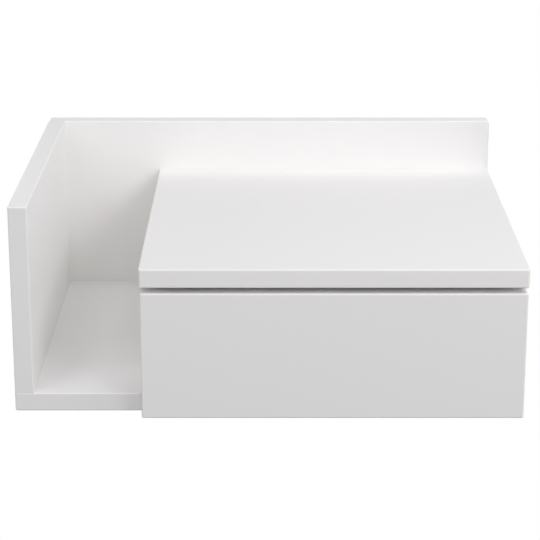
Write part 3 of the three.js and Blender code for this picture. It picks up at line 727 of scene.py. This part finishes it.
class NIGHTSTAND_OT_finishes(bpy.types.Operator):
    """Make the procedural finishes that the boards and fittings share"""

    bl_idname = "nightstand.finishes"
    bl_label = "Finishes"

    def execute(self, context):
        colours = context.scene.nightstand_finishes
        film, grain = paint_film(), metal_grain()
        films = {}
        for name, (base, *numbers) in FILMS.items():
            films[name] = film_material(name, getattr(colours, base), film, *numbers)
        for label, value in PAD_PLASTIC.items():
            films["soft_pad"].inputs[label].default_value = value
        for name, (base, *numbers) in METALS.items():
            metal_material(name, getattr(colours, base), grain, *numbers)
        for name, (base, *numbers) in RAW_BOARDS.items():
            raw_material(name, getattr(colours, base), *numbers)
        fibre_material("hardboard_fibre", colours.fibre)
        return {"FINISHED"}


# Boards


def hanger_frame(side):
    """Middle of a hanger plate's rear face, half of its width and height, and its thickness"""
    low, high, middle = box(f"{side}_hanger")
    middle.y = high.y
    return middle, (high.x - low.x) / 2, (high.z - low.z) / 2, high.y - low.y


def add_hanger_bed(shape, side, fittings):
    """Adds the recess of a hanger plate and the pocket behind it"""
    middle, x, z, steel = hanger_frame(side)
    place = Matrix.Translation(middle)
    gap, depth = fittings.clearance, steel + PLATE_GAP
    recess = rounded_rectangle(x + gap, z + gap, fittings.plate_round + gap)
    add_prism(shape, recess, OVERCUT, -depth, place)
    reach = fittings.entry_radius + POCKET_MARGIN
    pocket = rounded_rectangle(reach, reach + fittings.keyhole_rise / 2, POCKET_ROUND)
    add_prism(shape, pocket, -depth / 2, -depth - fittings.pocket_depth, place)


def add_cam_rooms(shape, node, fittings):
    """Adds the bores of the cam bolts, and in an upright those of its cams, open to the drawer's side"""
    gap = fittings.clearance
    for bolt in [name for name in frame["nodes"] if name.endswith("_cam_bolt")]:
        upright = "divider" if bolt.startswith("divider") else "right_side"
        if node not in ("top_board", f"{upright}_panel"):
            continue
        low, high, middle = box(bolt)
        bore = rod((high.x - low.x) / 2 + gap, low.z - gap, high.z + gap)
        add_turned(shape, bore, Matrix.Translation((middle.x, middle.y, 0)), fittings.sides)
        if node == "top_board":
            continue
        low, high, middle = box(bolt.removesuffix("_bolt"))
        middle.x, into = (high.x, -X) if upright == "divider" else (low.x, X)
        room = rod((high.z - low.z) / 2 + gap, -OVERCUT, high.x - low.x + gap)
        add_turned(shape, room, facing(middle, into), fittings.sides)


class NIGHTSTAND_OT_case_boards(bpy.types.Operator):
    """Make the six lacquered boards of the case, with their rounds and holes"""

    bl_idname = "nightstand.case_boards"
    bl_label = "Case Boards"

    def execute(self, context):
        sizes, fittings = context.scene.nightstand_boards, context.scene.nightstand_fittings
        corners = {"back_panel": sizes.back_corner, "top_board": sizes.top_corner}
        for node, (seams, screws) in CASE_BOARDS.items():
            made = eased_box(
                node, "lacquered", "satin_lacquer", sizes, sizes.edge_round, corners.get(node), seams
            )
            cutter = bmesh.new()
            if node == "back_panel":
                add_hanger_bed(cutter, "left", fittings)
                add_hanger_bed(cutter, "right", fittings)
            add_cam_rooms(cutter, node, fittings)
            complete(made, "lacquer", node, screws, "raw_fibreboard", cutter)
        return {"FINISHED"}


class NIGHTSTAND_OT_drawer_boards(bpy.types.Operator):
    """Make the drawer's front, box and floor"""

    bl_idname = "nightstand.drawer_boards"
    bl_label = "Drawer Boards"

    def execute(self, context):
        sizes = context.scene.nightstand_boards
        front = eased_box("drawer_front", "lacquered", "satin_lacquer", sizes, sizes.front_round)
        complete(front, "lacquer", "drawer_front", ["drawer_front_"], "raw_fibreboard")

        low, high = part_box("drawer_floor")
        gap = Vector((1, 1, 1)) * context.scene.nightstand_fittings.clearance
        low, high = low - gap, high + gap
        groove = [(low.x, low.z), (high.x, low.z), (high.x, high.z), (low.x, high.z)]
        for node, (seams, screws) in BOX_BOARDS.items():
            made = eased_box(node, "laminated", "box_laminate", sizes, sizes.box_round, seams=seams)
            edging = add_material(made, "box_edging")
            for face in made.data.polygons:
                face.material_index = edging if abs(face.normal.z) > 0.6 else 0
            cutter = bmesh.new()
            add_prism(cutter, groove, low.y, high.y)
            complete(made, "drawer_box", node, screws, "raw_chipboard", cutter)

        floor = eased_box("drawer_floor", "pressed", "hardboard_face", sizes, sizes.seam_round)
        fibre = add_material(floor, "hardboard_fibre")
        for face in floor.data.polygons:
            face.material_index = fibre if face.normal.z < 0.5 else 0
        stand_in(floor, "hardboard", "drawer_floor")
        return {"FINISHED"}


# Fittings


def points_object(name, points, directions=()):
    """An object with one vertex at each point, and a direction for each where given"""
    made = object_from(name, bmesh.new())
    made.data.from_pydata(points, [], [])
    if directions:
        into = made.data.attributes.new("into", "FLOAT_VECTOR", "POINT")
        into.data.foreach_set("vector", [part for direction in directions for part in direction])
    return made


def screw_tree(name, domed):
    """Geometry tree: turned screws with a cross recess, on points that say which way they are driven"""
    sizes = dict.fromkeys(SCREW_INPUTS, 0.001)
    inputs = {"Geometry": None, **sizes, "Sides": 32, "Seed": 3, "Material": None}
    tree, given, result = new_tree(name, "GeometryNodeTree", inputs, {"Geometry": None})
    head, rise, shank, reach, tip, arm, width, depth = [given[label] for label in SCREW_INPUTS]

    def part(socket, factor):
        return math_node(tree, "MULTIPLY", socket, factor)

    profile = DOMED_HEAD if domed else FLAT_HEAD
    rows = [(part(head, radius), part(rise, height)) for radius, height in profile]
    rows += [
        (shank, 0.0 if domed else rise),
        (shank, math_node(tree, "SUBTRACT", reach, tip)),
        (part(shank, SCREW_END[0]), part(reach, SCREW_END[1])),
        (0.0, reach),
    ]
    corners = {"Vertices X": math_node(tree, "ADD", given["Sides"], 1.0), "Vertices Y": len(rows)}
    grid = wire(tree, "GeometryNodeMeshGrid", corners)
    index = wire(tree, "GeometryNodeInputIndex").outputs[0]
    row = math_node(tree, "MODULO", index, len(rows))
    column = math_node(tree, "DIVIDE", math_node(tree, "ADD", index, 0.5), len(rows))
    angle = math_node(tree, "DIVIDE", part(math_node(tree, "FLOOR", column), 2 * math.pi), given["Sides"])
    pick = wire(tree, "GeometryNodeIndexSwitch", data_type="VECTOR")
    while len(pick.index_switch_items) < len(rows):
        pick.index_switch_items.new()
    link(tree, row, pick.inputs["Index"])
    for number, (radius, height) in enumerate(rows):
        link(tree, combine(tree, radius, 0.0, height), pick.inputs[number + 1])
    spot = {"Vector": pick, "Angle": angle}
    turned = wire(tree, "ShaderNodeVectorRotate", spot, rotation_type="Z_AXIS")
    body = wire(tree, "GeometryNodeSetPosition", {"Geometry": grid, "Position": turned})
    closed = wire(tree, "GeometryNodeMergeByDistance", {"Geometry": body, "Distance": WELD_DISTANCE / 2})

    blades = []
    for x, y in ((arm, width), (width, arm)):
        size = combine(tree, part(x, 2.0), part(y, 2.0), part(depth, 2.0))
        blade = wire(tree, "GeometryNodeMeshCube", {"Size": size})
        at = wire(tree, "GeometryNodeInputPosition")
        level = math_node(tree, "DIVIDE", wire(tree, "ShaderNodeSeparateXYZ", {0: at}).outputs["Z"], depth)
        narrow = math_node(tree, "SUBTRACT", 1.0, part(level, RECESS_TAPER))
        tapered = vector_node(tree, "MULTIPLY", at, combine(tree, narrow, narrow, 1.0))
        top = combine(tree, z=part(rise, profile[0][1]))
        moved = {"Geometry": blade, "Position": tapered, "Offset": top}
        blades.append(wire(tree, "GeometryNodeSetPosition", moved))
    solids = {"Mesh 1": closed, "Mesh 2": blades}
    screw = wire(tree, "GeometryNodeMeshBoolean", solids, operation="DIFFERENCE", solver="EXACT")
    into = wire(tree, "GeometryNodeInputNamedAttribute", {"Name": "into"}, data_type="FLOAT_VECTOR")
    turn = wire(tree, "FunctionNodeAlignRotationToVector", {"Vector": into}, axis="Z")
    spots = {"Points": given["Geometry"], "Instance": screw, "Rotation": turn}
    placed = wire(tree, "GeometryNodeInstanceOnPoints", spots)
    chance = wire(tree, "FunctionNodeRandomValue", {3: math.pi, "Seed": given["Seed"]}, data_type="FLOAT")
    about = combine(tree, z=chance.outputs[1])
    spun = wire(tree, "GeometryNodeRotateInstances", {"Instances": placed, "Rotation": about})
    return end_tree(tree, spun, given["Material"], result["Geometry"])


class NIGHTSTAND_OT_screws(bpy.types.Operator):
    """Make the screws of the case, the hangers, the runners and the drawer"""

    bl_idname = "nightstand.screws"
    bl_label = "Screws"

    def execute(self, context):
        trees = {False: screw_tree("Flat Head Screws", False), True: screw_tree("Domed Screws", True)}
        for kind, size in SCREW_KINDS.items():
            nodes = [node for node, place in SCREWS.items() if place[0] == kind]
            points, directions = zip(*[SCREWS[node][1:] for node in nodes])
            made = points_object(f"{kind}_screws", points, directions)
            recess = (size.head * RECESS_REACH, size.head * RECESS_WIDTH, size.rise * RECESS_DEPTH)
            values = dict(zip(SCREW_INPUTS, (*size[:5], *recess)))
            values["Sides"] = context.scene.nightstand_fittings.sides
            values["Material"] = bpy.data.materials["screw_plating"]
            apply_tree(made, trees[size.domed], values)
            stand_in(made, "screw_steel", *nodes)
        return {"FINISHED"}


class NIGHTSTAND_OT_runners(bpy.types.Operator):
    """Make the runners' two members, bent from steel strip, with their screw holes and spare slots"""

    bl_idname = "nightstand.runners"
    bl_label = "Runners"

    def execute(self, context):
        fittings = context.scene.nightstand_fittings
        steel, half = fittings.steel, fittings.steel / 2
        for side, inward in (("left", 1), ("right", -1)):
            for member, into in (("case", inward), ("drawer", -inward)):
                node = f"{side}_runner_{member}_member"
                low, high, middle = box(node)
                web, edge = (low.x, high.x) if into > 0 else (high.x, low.x)
                z = (high.z - low.z) / 2 - half
                upper = [(edge, z), (web + into * half, z)]
                if member == "case":
                    flange = edge - into * half
                    upper[:1] = [(flange, z - fittings.lip), (flange, z)]
                made = bent_strip(node, upper, steel, fittings.bend)
                cutter = bmesh.new()
                self.add_slots(cutter, node, web, into, fittings)
                complete(made, "zinc_steel", node, [f"{side}_runner_{member}_"], cutter=cutter)
        return {"FINISHED"}

    def add_slots(self, cutter, node, web, into, fittings):
        """Spare slots through the web, between and beyond the two screws, every other one round"""
        stem = node.removesuffix("_member")
        front, rear = [SCREWS[f"{stem}_{end}_screw"][1] for end in ("front", "rear")]
        low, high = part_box(node)
        across = fittings.slot_width / 2
        for number, station in enumerate(SLOT_STATIONS):
            y = front.y + (rear.y - front.y) * station
            if not low.y + fittings.slot_length < y < high.y - fittings.slot_length:
                continue
            run = (fittings.slot_length / 2 if number % 2 else across) - across
            outline = arc(run, 0, across, -90, 90, 10) + arc(-run, 0, across, 90, 270, 10)
            place = Matrix.Translation((0, y, front.z))
            add_prism(cutter, outline, web - into * OVERCUT, web + into * OVERCUT, place, axis=0)


def ball_tree():
    """Geometry tree: rows of balls along Y, one row through each point"""
    inputs = {"Geometry": None, "Radius": 0.002, "Pitch": 0.009, "Count": 7, "Material": None}
    tree, given, result = new_tree("Ball Rows", "GeometryNodeTree", inputs, {"Geometry": None})
    start = math_node(tree, "MULTIPLY", math_node(tree, "SUBTRACT", given["Count"], 1.0), -0.5)
    first = combine(tree, y=math_node(tree, "MULTIPLY", start, given["Pitch"]))
    line = {"Count": given["Count"], "Start Location": first, "Offset": combine(tree, y=given["Pitch"])}
    row = wire(tree, "GeometryNodeMeshLine", line, mode="OFFSET")
    rows = wire(tree, "GeometryNodeInstanceOnPoints", {"Points": given["Geometry"], "Instance": row})
    spots = wire(tree, "GeometryNodeRealizeInstances", {"Geometry": rows})
    sphere = {"Segments": BALL_SEGMENTS, "Rings": BALL_SEGMENTS // 2, "Radius": given["Radius"]}
    ball = wire(tree, "GeometryNodeMeshUVSphere", sphere)
    balls = wire(tree, "GeometryNodeInstanceOnPoints", {"Points": spots, "Instance": ball})
    return end_tree(tree, balls, given["Material"], result["Geometry"])


class NIGHTSTAND_OT_ball_cages(bpy.types.Operator):
    """Make the cages that roll between the runners' members, with their balls"""

    bl_idname = "nightstand.ball_cages"
    bl_label = "Ball Cages"

    def execute(self, context):
        fittings = context.scene.nightstand_fittings
        tree = ball_tree()
        radius, steel, pitch = fittings.ball_radius, fittings.cage_steel, fittings.ball_pitch
        for side, inward, upright in (("left", 1, "divider_panel"), ("right", -1, "right_side_panel")):
            node = f"{side}_runner_ball_cage"
            low, high, middle = box(node)
            web, edge = (low.x, high.x) if inward > 0 else (high.x, low.x)
            sheet = web + inward * steel / 2
            row = high.z - middle.z - radius
            cage = bent_strip(node, [(edge, row), (sheet, row)], steel, fittings.bend)

            # The balls run in the middle of the gap between the upright and the drawer's side
            boards = (upright, f"drawer_{side}_side")
            faces = sorted(corner.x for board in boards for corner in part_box(board))
            ball_x = (faces[1] + faces[2]) / 2
            number = int((high.y - low.y - 2 * fittings.cage_margin) / pitch) + 1
            points = [Vector((ball_x, middle.y, middle.z + height)) for height in (row, -row)]
            cutter = bmesh.new()
            for point in points:
                for ball in range(number):
                    place = Matrix.Translation(point + Y * (ball - (number - 1) / 2) * pitch)
                    add_turned(cutter, rod(radius * BALL_PLAY, -steel, steel), place, fittings.sides // 2)
            complete(cage, "zinc_steel", node, [], cutter=cutter)

            balls = points_object(f"{side}_runner_balls", points)
            steel_balls = bpy.data.materials["ball_steel"]
            values = {"Radius": radius, "Pitch": pitch, "Count": number, "Material": steel_balls}
            apply_tree(balls, tree, values)
            stand_in(balls, "zinc_steel", node)
        return {"FINISHED"}


class NIGHTSTAND_OT_hangers(bpy.types.Operator):
    """Make the stamped keyhole plates in the rear face"""

    bl_idname = "nightstand.hangers"
    bl_label = "Hangers"

    def execute(self, context):
        fittings = context.scene.nightstand_fittings
        entry, slot, rise = fittings.entry_radius, fittings.slot_radius, fittings.keyhole_rise / 2
        lean = math.degrees(math.asin(slot / entry))
        keyhole = arc(0, -rise, entry, 90 + lean, 450 - lean, 40) + arc(0, rise, slot, 0, 180, 20)
        for side in ("left", "right"):
            middle, x, z, steel = hanger_frame(side)
            place = Matrix.Translation(middle)
            shape = bmesh.new()
            add_prism(shape, rounded_rectangle(x, z, fittings.plate_round), 0, -steel, place)
            plate = object_from(f"{side}_hanger_plate", shape)
            cutter = bmesh.new()
            add_prism(cutter, keyhole, OVERCUT, -steel - OVERCUT, place)
            add_screw_holes(cutter, [f"{side}_hanger_"])
            cut(plate, cutter)
            round_edges(plate, "ANGLE", fittings.plate_edge, 3)
            weld(plate)
            add_material(plate, "zinc_plating")
            stand_in(plate, "zinc_steel", f"{side}_hanger")
        return {"FINISHED"}


class NIGHTSTAND_OT_small_fittings(bpy.types.Operator):
    """Make the drawer's bumpers, and finish the cam fittings"""

    bl_idname = "nightstand.small_fittings"
    bl_label = "Small Fittings"

    def execute(self, context):
        for node in ("left_bumper", "right_bumper"):
            low, high, middle = box(node)
            middle.y = low.y
            radius, height = (high.z - low.z) / 2, high.y - low.y
            dome = arc(0, 0, 1, 0, 75, 5)
            profile = [(0, 0), (radius * PAD_FOOT, 0)]
            profile += [(radius * a, height * (PAD_WALL + (1 - PAD_WALL) * b)) for a, b in dome]
            profile.append((0, height))
            shape = bmesh.new()
            add_turned(shape, profile, facing(middle, Y), context.scene.nightstand_fittings.sides)
            made = object_from(f"{node}_moulded", shape)
            add_material(made, "soft_pad")
            stand_in(made, "soft_pad", node)
        for name, solid in frame["nodes"].items():
            if "_cam" in name:
                finish = "screw_plating" if name.endswith("bolt") else "zinc_casting"
                for place in solid.material_slots:
                    place.material = bpy.data.materials[finish]
        return {"FINISHED"}


# Studio


def white_to_eye(tree):
    """1 where a camera, mirror or glass ray ends"""
    path = wire(tree, "ShaderNodeLightPath").outputs
    seen = math_node(tree, "MAXIMUM", path["Is Camera Ray"], path["Is Glossy Ray"])
    return math_node(tree, "MAXIMUM", seen, path["Is Transmission Ray"])


class NIGHTSTAND_OT_stage(bpy.types.Operator):
    """Set the floor, the soft light, the white surroundings that gloss shows, and the camera"""

    bl_idname = "nightstand.stage"
    bl_label = "Studio"

    def execute(self, context):
        context.scene.view_settings.view_transform = "Standard"
        studio = context.scene.nightstand_studio
        self.make_floor(context.scene, studio)
        self.make_sky(context.scene, studio)
        self.make_lamps(context.scene, studio)
        data = bpy.data.cameras.new("Camera")
        data.lens = LENS
        camera = bpy.data.objects.new("Camera", data)
        camera.location = CAMERA_PLACE
        camera.rotation_euler = (math.radians(90 - CAMERA_PITCH), 0, 0)
        context.scene.collection.objects.link(camera)
        context.scene.camera = camera
        return {"FINISHED"}

    def make_floor(self, scene, studio):
        """A round floor that keeps the shadow, turns white further out, and is clear from below"""
        shape = bmesh.new()
        bmesh.ops.create_circle(shape, cap_ends=True, segments=96, radius=studio.floor_radius)
        level = cad_bounds[0].z - studio.floor_drop
        bmesh.ops.translate(shape, verts=shape.verts, vec=(0, 0, level))
        floor = object_from("studio_floor", shape)
        tree, shader = new_material("studio_floor")
        shader.inputs["Base Color"].default_value = scene.nightstand_finishes.floor
        shader.inputs["Roughness"].default_value = 0.9
        apart = vector_node(tree, "SUBTRACT", object_place(tree), MIDDLE)
        flat = vector_node(tree, "MULTIPLY", apart, (1, 1, 0))
        reach = wire(tree, "ShaderNodeVectorMath", {0: flat}, operation="LENGTH").outputs["Value"]
        rim = studio.fade_start, studio.fade_end
        fade = ranged(tree, reach, studio.fade_share, 1.0, *rim, kind="SMOOTHERSTEP")
        seen = math_node(tree, "MULTIPLY", white_to_eye(tree), fade)
        white = wire(tree, "ShaderNodeEmission", {"Color": (1, 1, 1, 1), "Strength": 1.0})
        mixed = wire(tree, "ShaderNodeMixShader", {0: seen, 1: shader, 2: white})
        below = wire(tree, "ShaderNodeNewGeometry").outputs["Backfacing"]
        eye = wire(tree, "ShaderNodeLightPath").outputs["Is Camera Ray"]
        clear = wire(tree, "ShaderNodeBsdfTransparent")
        from_below = math_node(tree, "MULTIPLY", below, eye)
        whole = wire(tree, "ShaderNodeMixShader", {0: from_below, 1: mixed, 2: clear})
        link(tree, whole, tree.nodes["Material Output"].inputs["Surface"])
        add_material(floor, "studio_floor")
        floor.visible_diffuse = False

    def make_sky(self, scene, studio):
        """Even light from all round, which the eye and gloss see as white"""
        scene.world = bpy.data.worlds.new("Studio")
        scene.world.use_nodes = True
        tree = scene.world.node_tree
        sky = tree.nodes["Background"]
        sky.inputs["Color"].default_value = studio.sky_tint
        sky.inputs["Strength"].default_value = studio.sky
        white = wire(tree, "ShaderNodeBackground", {"Color": (1, 1, 1, 1), "Strength": 1.0})
        mixed = wire(tree, "ShaderNodeMixShader", {0: white_to_eye(tree), 1: sky, 2: white})
        link(tree, mixed, tree.nodes["World Output"].inputs["Surface"])

    def make_lamps(self, scene, studio):
        """Softboxes that look at the cabinet, and that neither the eye nor gloss sees"""
        for name, (azimuth, elevation, width, height) in LAMPS.items():
            light = bpy.data.lights.new(name, "AREA")
            light.shape = "RECTANGLE"
            light.size, light.size_y = width, height
            light.energy = getattr(studio, name)
            light.color = (studio.sky_tint if name == "overhead" else studio.lamp_tint)[:3]
            turn, rise = math.radians(azimuth), math.radians(elevation)
            flat = math.cos(rise)
            away = Vector((math.sin(turn) * flat, -math.cos(turn) * flat, math.sin(rise)))
            lamp = bpy.data.objects.new(name, light)
            lamp.location = MIDDLE + away * LAMP_DISTANCE
            lamp.rotation_euler = (-away).to_track_quat("-Z", "Y").to_euler()
            lamp.visible_camera = False
            lamp.visible_glossy = False
            scene.collection.objects.link(lamp)


class NIGHTSTAND_PT_panel(bpy.types.Panel):
    """Sizes, colours and steps of the nightstand"""

    bl_label = "Floating Nightstand"
    bl_idname = "NIGHTSTAND_PT_panel"
    bl_space_type = "VIEW_3D"
    bl_region_type = "UI"
    bl_category = "Nightstand"

    def draw(self, context):
        for group in GROUPS:
            settings = getattr(context.scene, group)
            column = self.layout.box().column()
            for name in settings.__annotations__:
                column.prop(settings, name)
        for step in STEPS:
            self.layout.operator(step.bl_idname)


STEPS = (
    NIGHTSTAND_OT_finishes,
    NIGHTSTAND_OT_case_boards,
    NIGHTSTAND_OT_drawer_boards,
    NIGHTSTAND_OT_screws,
    NIGHTSTAND_OT_runners,
    NIGHTSTAND_OT_ball_cages,
    NIGHTSTAND_OT_hangers,
    NIGHTSTAND_OT_small_fittings,
    NIGHTSTAND_OT_stage,
)
GROUPS = {
    "nightstand_boards": BoardSizes,
    "nightstand_fittings": FittingSizes,
    "nightstand_finishes": Finishes,
    "nightstand_studio": Studio,
}


def register():
    for made in (*GROUPS.values(), *STEPS, NIGHTSTAND_PT_panel):
        bpy.utils.register_class(made)
    for name, group in GROUPS.items():
        setattr(bpy.types.Scene, name, PointerProperty(type=group))


def unregister():
    for name in GROUPS:
        delattr(bpy.types.Scene, name)
    for made in (NIGHTSTAND_PT_panel, *reversed(STEPS), *GROUPS.values()):
        bpy.utils.unregister_class(made)


def main():
    register()
    bpy.ops.nightstand.finishes()
    bpy.ops.nightstand.case_boards()
    bpy.ops.nightstand.drawer_boards()
    bpy.ops.nightstand.screws()
    bpy.ops.nightstand.runners()
    bpy.ops.nightstand.ball_cages()
    bpy.ops.nightstand.hangers()
    bpy.ops.nightstand.small_fittings()
    bpy.ops.nightstand.stage()


if __name__ == "__main__":
    main()
